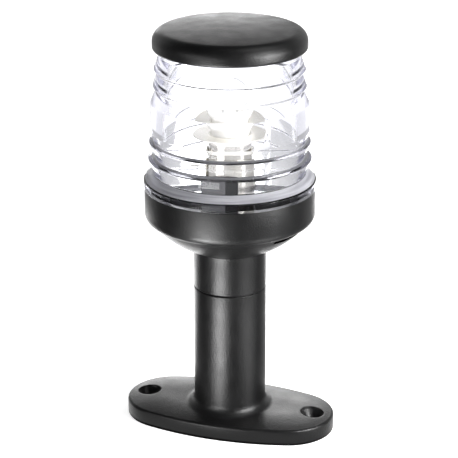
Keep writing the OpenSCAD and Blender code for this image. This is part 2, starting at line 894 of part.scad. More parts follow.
module lens_shell() {
    groove = cap_spigot_r - seal_width - fit_gap;
    rotate_extrude()
        polygon(concat(
            [[skirt_in, lug_z], [skirt_r, lug_z], [skirt_r, lens_z], [flange_r, lens_z],
                [flange_r, flange_top]],
            ribs(low_ribs, first_low, low_pitch, low_crest, low_depth, low_pitch - low_step),
            [[belt_r - belt_notch, last_low], [belt_r, belt_z], [belt_top_r, belt_top]],
            ribs(top_ribs, first_top, top_pitch, top_crest, top_depth, top_rise),
            [[shoulder_r, shoulder_z - shoulder_land], [shoulder_r, shoulder_z], [cap_spigot_r, shoulder_z],
                [cap_spigot_r, cap_seal_z - fit_gap], [groove, cap_seal_z - fit_gap],
                [groove, cap_seal_z + seal_height + fit_gap],
                [cap_spigot_r, cap_seal_z + seal_height + fit_gap], [cap_spigot_r, roof_top],
                [0, roof_top], [0, roof_z]],
            arc(lens_in_r - roof_thick, roof_z - roof_thick, roof_thick, 90, 0, 8)
        ));
}

module lens() {
    color(clear, 0.35)
        difference() {
            union() {
                lens_shell();
                for (i = [0:hook_count - 1])
                    rotate([0, 0, slot_angle + 360 * i / hook_count])
                        ring_part(skirt_r - skirt_wall / 2, lug_r, lug_z, hook_thick,
                            -lug_span / 2, lug_span / 2);
            }
            translate([0, 0, roof_z - cut])
                cylinder(d = screw_d + 2 * fit_gap, h = roof_thick + 2 * cut);
        }
}

module cap() {
    skirt = cap_spigot_r + fit_gap;
    bulge_z = cap_top - cap_crown - cap_shoulder_r;
    crown_from = 84;
    crown_w = cap_r - cap_shoulder_r * (1 - cos(crown_from));
    crown_rise = cap_top - bulge_z - cap_shoulder_r * sin(crown_from);
    crown_r = (crown_w * crown_w + crown_rise * crown_rise) / (2 * crown_rise);
    color(black)
        difference() {
            union() {
                rotate_extrude()
                    polygon(concat(
                        [[skirt, shoulder_z]],
                        arc(cap_r - cap_edge_r, shoulder_z + cap_edge_r, cap_edge_r, 270, 360, 5),
                        arc(cap_r - cap_shoulder_r, bulge_z, cap_shoulder_r, 0, crown_from, 14),
                        arc(0, cap_top - crown_r, crown_r, 90 - asin(crown_w / crown_r), 90, 8),
                        [[0, cap_roof], [skirt, cap_roof]]
                    ));
                translate([0, 0, roof_top + fit_gap])
                    cylinder(r = boss_r, h = boss_height);
            }
            translate([0, 0, roof_top - cut])
                cylinder(d = screw_d + 2 * fit_gap, h = cap_room + cap_thread + run_gap + cut);
        }
}

module cap_seal() {
    color(rubber)
        ring(cap_spigot_r - seal_width, cap_spigot_r, cap_seal_z, seal_height);
}

module cap_screw() {
    color(steel)
        translate([0, 0, roof_z])
            rotate([180, 0, 0])
                pan_screw(roof_thick + cap_room + cap_thread);
}

echo(contact_spring_gap = coil_gap(spring_r, spring_room - spring_wire, spring_turns, spring_wire, 8));
echo(filament_gap = coil_gap(filament_r, filament_length - 2 * lead_r, filament_turns, filament_wire, 8));

pedestal();
bowl();
neck_seal();
neck_screws();
cable_grommet();
lens_gasket();
holder_stand();
stand_screws();
holder_shell();
contact_carrier();
contact_springs();
terminal_tabs();
contact_plungers();
bulb_cap();
bulb_pins();
bulb_insulator();
bulb_contacts();
bulb_flange();
bulb_glass();
bulb_stem();
filament_leads();
filament();
lens();
cap();
cap_seal();
cap_screw();
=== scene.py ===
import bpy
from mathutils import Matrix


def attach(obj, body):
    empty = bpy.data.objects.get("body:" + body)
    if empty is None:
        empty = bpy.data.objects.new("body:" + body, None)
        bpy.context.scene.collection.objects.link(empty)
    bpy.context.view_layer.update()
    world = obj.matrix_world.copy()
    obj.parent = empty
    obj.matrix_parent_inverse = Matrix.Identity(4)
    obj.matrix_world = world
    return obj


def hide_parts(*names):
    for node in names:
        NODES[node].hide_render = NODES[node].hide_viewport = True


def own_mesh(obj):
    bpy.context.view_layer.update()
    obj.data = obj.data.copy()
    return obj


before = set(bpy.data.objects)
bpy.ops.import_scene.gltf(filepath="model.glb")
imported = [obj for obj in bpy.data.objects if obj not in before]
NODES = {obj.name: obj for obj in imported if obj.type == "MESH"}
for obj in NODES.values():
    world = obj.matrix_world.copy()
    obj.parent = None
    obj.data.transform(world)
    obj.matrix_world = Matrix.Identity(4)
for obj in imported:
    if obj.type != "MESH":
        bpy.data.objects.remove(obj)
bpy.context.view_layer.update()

import math

import bmesh
import bpy
from mathutils import Matrix, Vector

MM = 0.001

# Sizes in millimetres and angles in degrees, as in the part's source
FOOT_LENGTH, FOOT_WIDTH, FOOT_END_R, FOOT_HEIGHT = 78, 40, 17, 7
FOOT_EDGE_R, FOOT_CROWN, CROWN_REACH = 1, 1.2, 13
HOLE_X, HOLE_R, SEAT_R, SEAT_DEPTH = 31.5, 2.25, 4.2, 1.2
POST_R, POST_BORE_R, FLARE_R, SEAM_Z, SEAM_BEVEL = 13, 9.5, 3.5, 53.3, 0.4
SOCKET_R, SOCKET_Z, WEB_Z, WEB_HOLE_R = 10.4, 49.3, 44.3, 4
SPIGOT_R, SPIGOT_Z, NECK_R, NECK_FLOOR_Z, NECK_TOP = 10.35, 49.35, 10, 53.85, 67.95
BELL_Z, BELL_R, BELL_IN_R, BELL_EDGE_R, BELL_EDGE_Z = 102.18, 36.62, 34.02, 27.8, 78.35
RIM_R, RIM_Z, BORE_R, FLOOR_Z, FLOOR_R = 30.3, 90.95, 28.1, 75.65, 21.3
GROMMET_R, BAND_R, LEDGE_Z, GROOVE_IN, GROOVE_OUT = 3.45, 3.2, 82.6, 28.65, 29.75
SLOT_ANGLE, SLOT_HALF, SLOT_FADE, SLOT_LOW, SLOT_TOP, SLOT_R, SLOT_LIP = -20, 17, 1.5, 76.6, 78.2, 25.2, 0.05
LOCK_ANGLES = [-20, 100, 220]
HOOK_R, HOOK_Z, HOOK_TOP, HOOK_HALF, HOOK_SUNK = 26.5, 86.85, 88.65, 19, 1.3
STOP_FROM, STOP_TO, STOP_INSET, STOP_DROP = 17, 15, 0.2, 0.9
LUG_R, LUG_Z, LUG_TOP, LUG_HALF, SKIRT_R = 27.8, 84.75, 86.55, 14, 26.2
HOLDER_ANGLE = 18


# Camera
# Angles in degrees, lengths in metres, focal length and picture width in pixels
CAM_AZ, CAM_DIST, CAM_Z, CAM_PITCH, CAM_F, IMAGE = 17.7, 0.620, 0.30439, 20.353, 1850.47, 458
CAM_YAW = math.degrees(math.atan(1.0 / CAM_F))  # one pixel to the side
SENSOR = 36  # millimetres
# Level direction that leads away from the camera
BACK = (-math.sin(math.radians(CAM_AZ)), math.cos(math.radians(CAM_AZ)), 0)


def make_camera():
    data = bpy.data.cameras.new("camera")
    data.sensor_width = SENSOR
    data.lens = CAM_F / IMAGE * SENSOR
    data.clip_start, data.clip_end = 0.01, 20
    cam = bpy.data.objects.new("camera", data)
    bpy.context.scene.collection.objects.link(cam)
    az = math.radians(CAM_AZ)
    cam.location = (CAM_DIST * math.sin(az), -CAM_DIST * math.cos(az), CAM_Z)
    cam.rotation_euler = (math.radians(90 - CAM_PITCH), 0, az + math.radians(CAM_YAW))
    bpy.context.scene.camera = cam


# Node materials
def shader(name):
    mat = bpy.data.materials.new(name)
    mat.use_nodes = True
    tree = mat.node_tree
    return mat, tree, tree.nodes["Principled BSDF"]


def node(tree, kind, **values):
    n = tree.nodes.new(kind)
    for k, v in values.items():
        if k in n.inputs:
            n.inputs[k].default_value = v
        else:
            setattr(n, k, v)
    return n


def noise(tree, scale, detail, rough=0.5, stretch=None):
    coord = node(tree, "ShaderNodeTexCoord")
    tex = node(tree, "ShaderNodeTexNoise", Scale=scale, Detail=detail, Roughness=rough)
    if stretch:
        mapping = node(tree, "ShaderNodeMapping")
        mapping.inputs["Scale"].default_value = stretch
        tree.links.new(coord.outputs["Object"], mapping.inputs["Vector"])
        tree.links.new(mapping.outputs["Vector"], tex.inputs["Vector"])
    else:
        tree.links.new(coord.outputs["Object"], tex.inputs["Vector"])
    return tex.outputs["Fac"]


def ramp(tree, fac, stops):
    r = node(tree, "ShaderNodeValToRGB")
    els = r.color_ramp.elements
    while len(els) < len(stops):
        els.new(0.5)
    for e, (pos, col) in zip(els, stops):
        e.position = pos
        e.color = col + (1,)
    tree.links.new(fac, r.inputs["Fac"])
    return r.outputs["Color"]


def map_range(tree, value, start, stop, low, high, kind="LINEAR"):
    """Maps start..stop to low..high."""
    m = node(tree, "ShaderNodeMapRange", interpolation_type=kind)
    for name, number in (("From Min", start), ("From Max", stop), ("To Min", low), ("To Max", high)):
        m.inputs[name].default_value = number
    tree.links.new(value, m.inputs["Value"])
    return m.outputs["Result"]


def spread(tree, fac, low, high):
    """Spreads the usual range of a noise over low..high."""
    return map_range(tree, fac, 0.3, 0.7, low, high)


def bump(tree, bsdf, height, strength, distance):
    b = node(tree, "ShaderNodeBump", Strength=strength, Distance=distance)
    tree.links.new(height, b.inputs["Height"])
    tree.links.new(b.outputs["Normal"], bsdf.inputs["Normal"])


def plastic(name, dark, light, rough, grain=2600, grain_mm=0.012, spec=0.5):
    mat, tree, bsdf = shader(name)
    broad = noise(tree, 60, 4)
    fine = noise(tree, grain, 3, 0.6)
    tree.links.new(ramp(tree, broad, [(0.3, dark), (0.7, light)]), bsdf.inputs["Base Color"])
    tree.links.new(spread(tree, noise(tree, 180, 5), rough[0], rough[1]), bsdf.inputs["Roughness"])
    bsdf.inputs["Specular IOR Level"].default_value = spec
    bump(tree, bsdf, fine, 0.6, grain_mm * MM)
    return mat


BRUSH_STRETCH, SCRATCH_MM = (40, 40, 900), 0.002


def metal(name, dark, light, rough):
    mat, tree, bsdf = shader(name)
    bsdf.inputs["Metallic"].default_value = 1.0
    brushed = noise(tree, 12, 4, 0.6, BRUSH_STRETCH)
    tree.links.new(ramp(tree, noise(tree, 300, 4), [(0.3, dark), (0.7, light)]), bsdf.inputs["Base Color"])
    tree.links.new(spread(tree, brushed, rough[0], rough[1]), bsdf.inputs["Roughness"])
    bump(tree, bsdf, brushed, 0.3, SCRATCH_MM * MM)
    return mat


def maths(tree, operation, a, b):
    n = node(tree, "ShaderNodeMath", operation=operation)
    for socket, value in zip(n.inputs, (a, b)):
        if isinstance(value, (int, float)):
            socket.default_value = value
        else:
            tree.links.new(value, socket)
    return n.outputs["Value"]


FAR = 1000  # millimetres, beyond every piece


def within(tree, value, low, high):
    """1 where a length lies between two limits in millimetres, else 0."""
    above = maths(tree, "GREATER_THAN", value, low * MM)
    below = maths(tree, "LESS_THAN", value, high * MM)
    return maths(tree, "MULTIPLY", above, below)


def dot(tree, vector, axis):
    n = node(tree, "ShaderNodeVectorMath", operation="DOT_PRODUCT")
    n.inputs[1].default_value = axis
    tree.links.new(vector, n.inputs[0])
    return n.outputs["Value"]


def along(tree, axis):
    """Object coordinate measured along an axis."""
    return dot(tree, node(tree, "ShaderNodeTexCoord").outputs["Object"], axis)


def off_axis(tree):
    """Distance from the Z axis."""
    coord = node(tree, "ShaderNodeTexCoord")
    flat = node(tree, "ShaderNodeVectorMath", operation="MULTIPLY")
    flat.inputs[1].default_value = (1, 1, 0)
    length = node(tree, "ShaderNodeVectorMath", operation="LENGTH")
    tree.links.new(coord.outputs["Object"], flat.inputs[0])
    tree.links.new(flat.outputs["Vector"], length.inputs[0])
    return length.outputs["Value"]


def recolour(tree, bsdf, mask, colour):
    """Lays a second colour over the first where the mask is 1."""
    mix = node(tree, "ShaderNodeMix", data_type="RGBA")
    tree.links.new(mask, mix.inputs["Factor"])
    tree.links.new(bsdf.inputs["Base Color"].links[0].from_socket, mix.inputs[6])
    if isinstance(colour, tuple):
        mix.inputs[7].default_value = colour + (1,)
    else:
        tree.links.new(colour, mix.inputs[7])
    tree.links.new(mix.outputs[2], bsdf.inputs["Base Color"])


def painted_light_inside(mat, radius, colour):
    """Gives the inside of a tube about Z, within a radius in millimetres, a matt colour of its own, here a pale
    one as painted light that brightens the shaded inside.
    """
    tree = mat.node_tree
    bsdf = tree.nodes["Principled BSDF"]
    inside = within(tree, off_axis(tree), -FAR, radius)
    recolour(tree, bsdf, inside, colour)
    tree.links.new(maths(tree, "SUBTRACT", 1, inside), bsdf.inputs["Metallic"])
    return mat


def painted_shade_beyond_edge(mat, axis, edge, colour):
    """Paints shade on a block: a second, darker colour beyond an edge, in millimetres along an axis."""
    tree = mat.node_tree
    recolour(tree, tree.nodes["Principled BSDF"], within(tree, along(tree, axis), edge, FAR), colour)
    return mat


def clear(name, ior, tint, rough, wave_mm):
    mat, tree, bsdf = shader(name)
    bsdf.inputs["Transmission Weight"].default_value = 1.0
    bsdf.inputs["IOR"].default_value = ior
    bsdf.inputs["Specular Tint"].default_value = (0.15, 0.15, 0.15, 1)
    cloud = noise(tree, 120, 3)
    tree.links.new(ramp(tree, cloud, [(0.3, tint), (0.7, (1, 1, 1))]), bsdf.inputs["Base Color"])
    tree.links.new(spread(tree, noise(tree, 260, 4), rough[0], rough[1]), bsdf.inputs["Roughness"])
    bump(tree, bsdf, noise(tree, 90, 2), 0.5, wave_mm * MM)
    return mat


def painted_slot_shade(mat, low, high, near, far):
    """Paints shade into a slot that runs round a piece, between two heights and two radii in millimetres: near
    black, with no specular shine.
    """
    tree = mat.node_tree
    bsdf = tree.nodes["Principled BSDF"]
    height = within(tree, along(tree, (0, 0, 1)), low, high)
    slot = maths(tree, "MULTIPLY", height, within(tree, off_axis(tree), near, far))
    recolour(tree, bsdf, slot, (0.001, 0.001, 0.001))
    shine = bsdf.inputs["Specular IOR Level"]
    tree.links.new(maths(tree, "MULTIPLY", maths(tree, "SUBTRACT", 1, slot), shine.default_value), shine)
    return mat


def satin_and_painted_shade(mat, taper, steps, outside, seat_r, seat_top):
    """Adds satin bands to a clear turned piece, with painted shade in their grey colours, and a black ring of
    painted shade where it sits on its gasket.
    """
    tree = mat.node_tree
    bsdf = tree.nodes["Principled BSDF"]
    height, reach = along(tree, (0, 0, 1)), off_axis(tree)
    outer = within(tree, reach, outside, FAR)
    # Painted shade: the taper and the step lines get grey colours as well as satin
    band = maths(tree, "MULTIPLY", within(tree, height, *taper), outer)
    line = 0
    for low, high in steps:
        line = maths(tree, "ADD", within(tree, height, low, high), line)
    line = maths(tree, "MULTIPLY", line, outer)
    # Painted shade: a black ring where the lens sits on its gasket
    painted_dark_seat = maths(tree, "MULTIPLY", within(tree, height, 0, seat_top), within(tree, reach, *seat_r))
    flow = noise(tree, 35, 4, 0.6, (1, 1, 30))
    streaks = ramp(tree, flow, [(0.35, (0.42, 0.42, 0.47)), (0.65, (0.85, 0.85, 0.9))])
    recolour(tree, bsdf, band, streaks)
    recolour(tree, bsdf, line, (0.26, 0.26, 0.28))
    recolour(tree, bsdf, painted_dark_seat, (0.006, 0.006, 0.006))
    depth = node(tree, "ShaderNodeVolumeAbsorption", Density=42.0)
    depth.inputs["Color"].default_value = (0.72, 0.72, 0.8, 1)
    tree.links.new(depth.outputs["Volume"], tree.nodes["Material Output"].inputs["Volume"])
    satin = maths(tree, "ADD", band, line)
    rough = bsdf.inputs["Roughness"]
    tree.links.new(maths(tree, "ADD", rough.links[0].from_socket, maths(tree, "MULTIPLY", satin, 0.3)), rough)
    opaque = maths(tree, "ADD", maths(tree, "MULTIPLY", satin, 0.5), painted_dark_seat)
    tree.links.new(maths(tree, "SUBTRACT", 1, opaque), bsdf.inputs["Transmission Weight"])
    return mat


def cloudy_painted_light(mat, low, high):
    """Paints light into a clear piece: a cloudy pale colour below a height in millimetres, fading out above it,
    brightening the shaded hole seen through it.
    """
    tree = mat.node_tree
    bsdf = tree.nodes["Principled BSDF"]
    cloud = map_range(tree, along(tree, (0, 0, 1)), low * MM, high * MM, 0.85, 0.0)
    # Painted light: cloudy pale colour, less see-through, over the lower part
    recolour(tree, bsdf, cloud, (0.95, 0.94, 0.91))
    tree.links.new(maths(tree, "SUBTRACT", 1, cloud), bsdf.inputs["Transmission Weight"])
    return mat


def black(name):
    return plastic(name, (0.0045, 0.0045, 0.0047), (0.0075, 0.0075, 0.0078), (0.3, 0.4), 1700, 0.15)


# Heights and radii in millimetres: the lens's satin bands with painted shade and its black ring of painted
# shade on the gasket seat; the bulb's lower part painted cloudy pale and the inside of its cap painted pale,
# both painted light
LENS_TAPER, LENS_STEPS, LENS_SATIN_R = (94.3, 96.4), [(102.25, 102.65), (108.2, 108.65)], 25.6
LENS_SEAT_R, LENS_SEAT_TOP = (26.3, 30.46), 91.12
CLOUDY_PAINTED_Z, CLEAR_Z, PAINTED_LIGHT_R = 113, 119, 7.45

MATS = {
    "black_plastic": black("black_plastic"),
    "dark_plastic": plastic("dark_plastic", (0.035, 0.036, 0.040), (0.06, 0.062, 0.068), (0.4, 0.55)),
    # Clear lens, with painted shade in its satin bands and on its gasket seat
    "clear_lens": satin_and_painted_shade(clear("clear_lens", 1.49, (0.95, 0.955, 0.97), (0.03, 0.06), 0.02),
                          LENS_TAPER, LENS_STEPS, LENS_SATIN_R, LENS_SEAT_R, LENS_SEAT_TOP),
    # Bulb glass, with painted light: its lower part cloudy pale
    "bulb_clear": cloudy_painted_light(clear("bulb_clear", 1.2, (0.985, 0.99, 0.99), (0.0, 0.01), 0.01), CLOUDY_PAINTED_Z, CLEAR_Z),
    "rubber": plastic("rubber", (0.008, 0.008, 0.008), (0.016, 0.016, 0.016), (0.6, 0.8), 1800, 0.02, 0.3),
    "steel": metal("steel", (0.50, 0.51, 0.52), (0.66, 0.67, 0.68), (0.22, 0.4)),
    "nickel": metal("nickel", (0.74, 0.72, 0.66), (0.86, 0.84, 0.79), (0.08, 0.2)),
    "brass": metal("brass", (0.62, 0.47, 0.2), (0.78, 0.62, 0.32), (0.18, 0.32)),
    "pale_metal": metal("pale_metal", (0.9, 0.88, 0.81), (0.96, 0.94, 0.88), (0.35, 0.5)),
    "insulator": plastic("insulator", (0.012, 0.011, 0.010), (0.03, 0.027, 0.024), (0.1, 0.2), 900, 0.004),
    "tungsten": metal("tungsten", (0.28, 0.28, 0.29), (0.42, 0.42, 0.43), (0.3, 0.5)),
}


# Mesh helpers
def arc(cx, cz, r, a0, a1, n):
    """Points on an arc, angles in degrees, both ends included."""
    out = []
    for i in range(n + 1):
        a = math.radians(a0 + (a1 - a0) * i / n)
        out.append((cx + r * math.cos(a), cz + r * math.sin(a)))
    return out


def rounded(points, steps, closed=False):
    """Outline with each corner rounded. A point is (r, z) or (r, z, radius)."""
    out = []
    count = len(points)
    for i, p in enumerate(points):
        radius = p[2] if len(p) > 2 else 0
        if radius <= 0 or (not closed and i in (0, count - 1)):
            out.append((p[0], p[1]))
            continue
        here = Vector(p[:2])
        before = Vector(points[i - 1][:2]) - here
        after = Vector(points[(i + 1) % count][:2]) - here
        turn = before.angle(after)
        reach = radius / math.tan(turn / 2)
        reach = min(reach, before.length * 0.48, after.length * 0.48)
        radius = reach * math.tan(turn / 2)
        start = here + before.normalized() * reach
        end = here + after.normalized() * reach
        centre = here + (before.normalized() + after.normalized()).normalized() * radius / math.sin(turn / 2)
        a0 = math.atan2(*(start - centre).yx)
        a1 = math.atan2(*(end - centre).yx)
        sweep = (a1 - a0 + math.pi) % (2 * math.pi) - math.pi
        for k in range(steps + 1):
            a = a0 + sweep * k / steps
            out.append((centre.x + radius * math.cos(a), centre.y + radius * math.sin(a)))
    return out


FLAT = 1  # material index that marks a face for flat shading until the mesh is finished
EASE = 0.3  # inset at the middle of a rounded edge, as a share of its radius


def finish_mesh(name, bm, sharp):
    bmesh.ops.recalc_face_normals(bm, faces=bm.faces)
    for v in bm.verts:
        v.co *= MM
    me = bpy.data.meshes.new(name)
    bm.to_mesh(me)
    bm.free()
    smooth = [p.material_index != FLAT for p in me.polygons]
    me.set_sharp_from_angle(angle=math.radians(sharp))
    me.polygons.foreach_set("use_smooth", smooth)
    me.polygons.foreach_set("material_index", [0] * len(smooth))
    obj = bpy.data.objects.new(name, me)
    bpy.context.scene.collection.objects.link(obj)
    return obj


def lathe_into(bm, profile, seg, closed=True):
    """Turned surface about Z. profile is a list of (r, z), or a function of the angle in degrees."""
    at = profile if callable(profile) else lambda angle: profile
    rows = []
    for s in range(seg):
        angle = 360.0 * s / seg
        c, q = math.cos(math.radians(angle)), math.sin(math.radians(angle))
        rows.append([bm.verts.new((r * c, r * q, z)) for r, z in at(angle)])
    n = len(rows[0])
    for s in range(seg):
        a, b = rows[s], rows[(s + 1) % seg]
        for k in range(n if closed else n - 1):
            m = (k + 1) % n
            bm.faces.new((a[k], b[k], b[m], a[m]))
    bmesh.ops.remove_doubles(bm, verts=[v for row in rows for v in row], dist=1e-5)
    bmesh.ops.dissolve_degenerate(bm, edges=bm.edges, dist=1e-6)


def lathe(name, profile, seg, sharp=35):
    bm = bmesh.new()
    lathe_into(bm, profile, seg)
    return finish_mesh(name, bm, sharp)


def ring_part_into(bm, r0, r1, z0, z1, a0, a1, n=12):
    """Closed block that follows a ring from one angle to another."""
    rows = []
    for i in range(n + 1):
        a = math.radians(a0 + (a1 - a0) * i / n)
        c, q = math.cos(a), math.sin(a)
        rows.append([bm.verts.new((r * c, r * q, z)) for r, z in ((r0, z0), (r1, z0), (r1, z1), (r0, z1))])
    for a, b in zip(rows, rows[1:]):
        for k in range(4):
            bm.faces.new((a[k], b[k], b[(k + 1) % 4], a[(k + 1) % 4]))
    bm.faces.new(rows[0])
    bm.faces.new(rows[-1])


def angle_off(angle, centre):
    return (angle - centre + 180) % 360 - 180


def dress(data, mat):
    data.materials.clear()
    data.materials.append(mat)


def place(obj, body, slot, *nodes):
    dress(obj.data, MATS[slot])
    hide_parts(*nodes)
    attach(obj, body)
    return obj


# Foot and post
END_X = FOOT_LENGTH / 2 - FOOT_END_R
SIDE_R = (END_X ** 2 + (FOOT_WIDTH / 2) ** 2 - FOOT_END_R ** 2) / (FOOT_WIDTH - 2 * FOOT_END_R)
SIDE_Y = SIDE_R - FOOT_WIDTH / 2
SIDE_TURN = math.degrees(math.atan(END_X / SIDE_Y))
END_STEPS, SIDE_STEPS, HOLE_STEPS = 64, 44, 72


def foot_outline(inset):
    pts = []
    for cx, cy, r, a0, a1, n in (
        (END_X, 0, FOOT_END_R, SIDE_TURN - 90, 90 - SIDE_TURN, END_STEPS),
        (0, -SIDE_Y, SIDE_R, 90 - SIDE_TURN, 90 + SIDE_TURN, SIDE_STEPS),
        (-END_X, 0, FOOT_END_R, SIDE_TURN + 90, 270 - SIDE_TURN, END_STEPS),
        (0, SIDE_Y, SIDE_R, 270 - SIDE_TURN, 270 + SIDE_TURN, SIDE_STEPS),
    ):
        pts += arc(cx, cy, r - inset, a0, a1, n)[:-1]
    return pts


def foot_top(x, y):
    """Height of the foot's slightly crowned top."""
    x, y = abs(x), abs(y)
    if x > END_X and math.degrees(math.atan2(y, x - END_X)) < 90 - SIDE_TURN:
        inset = FOOT_END_R - math.hypot(x - END_X, y)
    else:
        inset = SIDE_R - math.hypot(x, y + SIDE_Y)
    return FOOT_HEIGHT - FOOT_CROWN * (1 - min(max(inset, 0) / CROWN_REACH, 1)) ** 2


def make_pedestal():
    bm = bmesh.new()

    def loop(points):
        return [bm.verts.new(p) for p in points]

    def ring(r, z):
        return loop([(r * math.cos(t), r * math.sin(t), z) for t in turns])

    def circle(cx, r):
        return [(cx + r * math.cos(2 * math.pi * i / HOLE_STEPS), r * math.sin(2 * math.pi * i / HOLE_STEPS))
                for i in range(HOLE_STEPS)]

    def skin(loops):
        made = []
        for a, b in zip(loops, loops[1:]):
            for i in range(len(a)):
                j = (i + 1) % len(a)
                made.append(bm.faces.new((a[i], a[j], b[j], b[i])))
        return made

    def ring_edges(verts):
        return [bm.edges.get(pair) for pair in zip(verts, verts[1:] + verts[:1])]

    low = 0.35  # rounding of the lower edge
    levels = [(low, 0.0), (low * EASE, low * EASE), (0, low)]
    wall = FOOT_HEIGHT - FOOT_CROWN * (1 - FOOT_EDGE_R / CROWN_REACH) ** 2 - FOOT_EDGE_R
    levels += [(FOOT_EDGE_R * (1 - math.cos(a)), wall + FOOT_EDGE_R * math.sin(a))
               for a in (math.radians(90 * i / 8) for i in range(9))]
    sides = [loop([(x, y, z) for x, y in foot_outline(inset)]) for inset, z in levels]
    skin(sides)
    edge = [v.co.copy() for v in sides[-1]]
    turns = [math.atan2(p.y, p.x) for p in edge]
    base_r, steps = POST_R + FLARE_R, 26
    base = [(base_r * math.cos(t), base_r * math.sin(t)) for t in turns]
    top = [sides[-1]]
    for k in range(1, steps + 1):
        mix = [(p.x + (b[0] - p.x) * k / steps, p.y + (b[1] - p.y) * k / steps) for p, b in zip(edge, base)]
        top.append(loop([(x, y, foot_top(x, y)) for x, y in mix]))
    plate = skin(top)
    profile = rounded([
        (POST_R, SEAM_Z - 6), (POST_R, SEAM_Z - SEAM_BEVEL, 0.12), (POST_R - SEAM_BEVEL, SEAM_Z, 0.08),
        (SOCKET_R, SEAM_Z, 0.1), (SOCKET_R, SOCKET_Z), (WEB_HOLE_R, SOCKET_Z), (WEB_HOLE_R, WEB_Z),
        (POST_BORE_R, WEB_Z), (POST_BORE_R, 0)], steps=3)
    flare_top = FOOT_HEIGHT + FLARE_R
    flare = [top[-1]]
    for r, z in arc(base_r, flare_top, FLARE_R, 270, 180, 14)[1:]:
        share = (flare_top - z) / FLARE_R
        flare.append(loop([(r * math.cos(t), r * math.sin(t), flare_top - share * (flare_top - foot_top(*b)))
                           for t, b in zip(turns, base)]))
    rings = [ring(r, z) for r, z in profile]
    skin(flare + rings)
    under = ring_edges(sides[0]) + ring_edges(rings[-1])
    lip, clear_of, soft_r, soft_z = 0.3, 0.5, 0.1, 0.15
    seat_z = FOOT_HEIGHT - SEAT_DEPTH
    cone_z = seat_z - (SEAT_R - HOLE_R)
    for cx in (-HOLE_X, HOLE_X):
        hole = []
        for reach, sink in ((lip + clear_of / 2, 0), (lip, 0), (lip * EASE, lip * EASE), (0, lip)):
            hole.append(loop([(x, y, foot_top(x, y) - sink) for x, y in circle(cx, SEAT_R + reach)]))
        rows = [(SEAT_R, seat_z + soft_z), (SEAT_R - soft_r, seat_z), (HOLE_R + soft_r, cone_z),
                (HOLE_R, cone_z - soft_z), (HOLE_R, 0)]
        hole += [loop([(x, y, z) for x, y in circle(cx, r)]) for r, z in rows]
        skin(hole)
        under += ring_edges(hole[-1])
        room = SEAT_R + lip + clear_of
        gone = [f for f in plate if any(math.hypot(v.co.x - cx, v.co.y) < room for v in f.verts)]
        plate = [f for f in plate if f not in set(gone)]
        border = {e for f in gone for e in f.edges if any(g not in gone for g in e.link_faces)}
        bmesh.ops.delete(bm, geom=gone, context="FACES_KEEP_BOUNDARY")
        bmesh.ops.triangle_fill(bm, use_beauty=True, edges=list(border) + ring_edges(hole[0]))
    made = bmesh.ops.triangle_fill(bm, use_beauty=True, edges=under)
    for f in made["geom"]:
        if isinstance(f, bmesh.types.BMFace):
            f.material_index = FLAT
    place(finish_mesh("pedestal_shell", bm, 40), "housing", "black_plastic", "pedestal")


# Bowl
def make_bowl():
    def bell(z, r=BELL_R):
        return math.sqrt(r * r - (BELL_Z - z) ** 2)

    def spread_z(z0, z1, n, r=BELL_R):
        return [(bell(z0 + (z1 - z0) * i / n, r), z0 + (z1 - z0) * i / n) for i in range(n + 1)]

    lower = rounded([
        (GROMMET_R, NECK_FLOOR_Z), (GROMMET_R, SPIGOT_Z), (SPIGOT_R, SPIGOT_Z, 0.2), (SPIGOT_R, SEAM_Z),
        (POST_R - SEAM_BEVEL, SEAM_Z, 0.08), (POST_R, SEAM_Z + SEAM_BEVEL, 0.12), (POST_R, NECK_TOP - 3),
        (POST_R, NECK_TOP - 0.05, 0.5), (bell(NECK_TOP + 0.8), NECK_TOP + 0.8)], steps=4)
    belly = spread_z(NECK_TOP + 1.2, SLOT_LOW, 22)
    edge = rounded([(bell(SLOT_TOP), SLOT_TOP), (BELL_EDGE_R, BELL_EDGE_Z, 0.25)]
                   + arc(RIM_R - BAND_R, BELL_EDGE_Z + BAND_R, BAND_R, -70, 0, 8)
                   + [(RIM_R, RIM_Z, 0.15), (GROOVE_OUT, RIM_Z, 0.1), (GROOVE_OUT, RIM_Z - 1),
                      (GROOVE_IN, RIM_Z - 1), (GROOVE_IN, RIM_Z, 0.1), (BORE_R, RIM_Z, 0.25),
                      (BORE_R, LEDGE_Z + 0.4, 0.2)], steps=4)
    inside = spread_z(LEDGE_Z, FLOOR_Z, 14, BELL_IN_R) + rounded([
        (FLOOR_R, FLOOR_Z), (NECK_R, FLOOR_Z, 0.4), (NECK_R, NECK_FLOOR_Z)], steps=3)

    def at(angle):
        off = abs(angle_off(angle, SLOT_ANGLE))
        deep = min(1.0, max(0.0, (SLOT_HALF - off) / SLOT_FADE))
        slot = []
        for z in (SLOT_LOW + SLOT_LIP, SLOT_TOP - SLOT_LIP):
            flush = bell(z)
            slot.append((flush + (min(SLOT_R, flush) - flush) * deep, z))
        return lower + belly + slot + edge + inside

    bm = bmesh.new()
    lathe_into(bm, at, seg=240)
    for a in LOCK_ANGLES:
        ring_part_into(bm, HOOK_R, BORE_R + HOOK_SUNK, HOOK_Z, HOOK_TOP, a - HOOK_HALF, a + HOOK_HALF)
        ring_part_into(bm, HOOK_R + STOP_INSET, BORE_R + HOOK_SUNK - STOP_INSET, LUG_Z, HOOK_TOP - STOP_DROP,
                       a - STOP_FROM, a - STOP_TO, 2)
    bowl = place(finish_mesh("bowl_shell", bm, 38), "housing", "black_plastic", "bowl")
    # The bowl's slot gets painted shade: near black, without shine
    dress(bowl.data, painted_slot_shade(black("bowl_plastic"), SLOT_LOW - SLOT_LIP, SLOT_TOP + SLOT_LIP,
                              SLOT_R - 1, SLOT_R + 1))


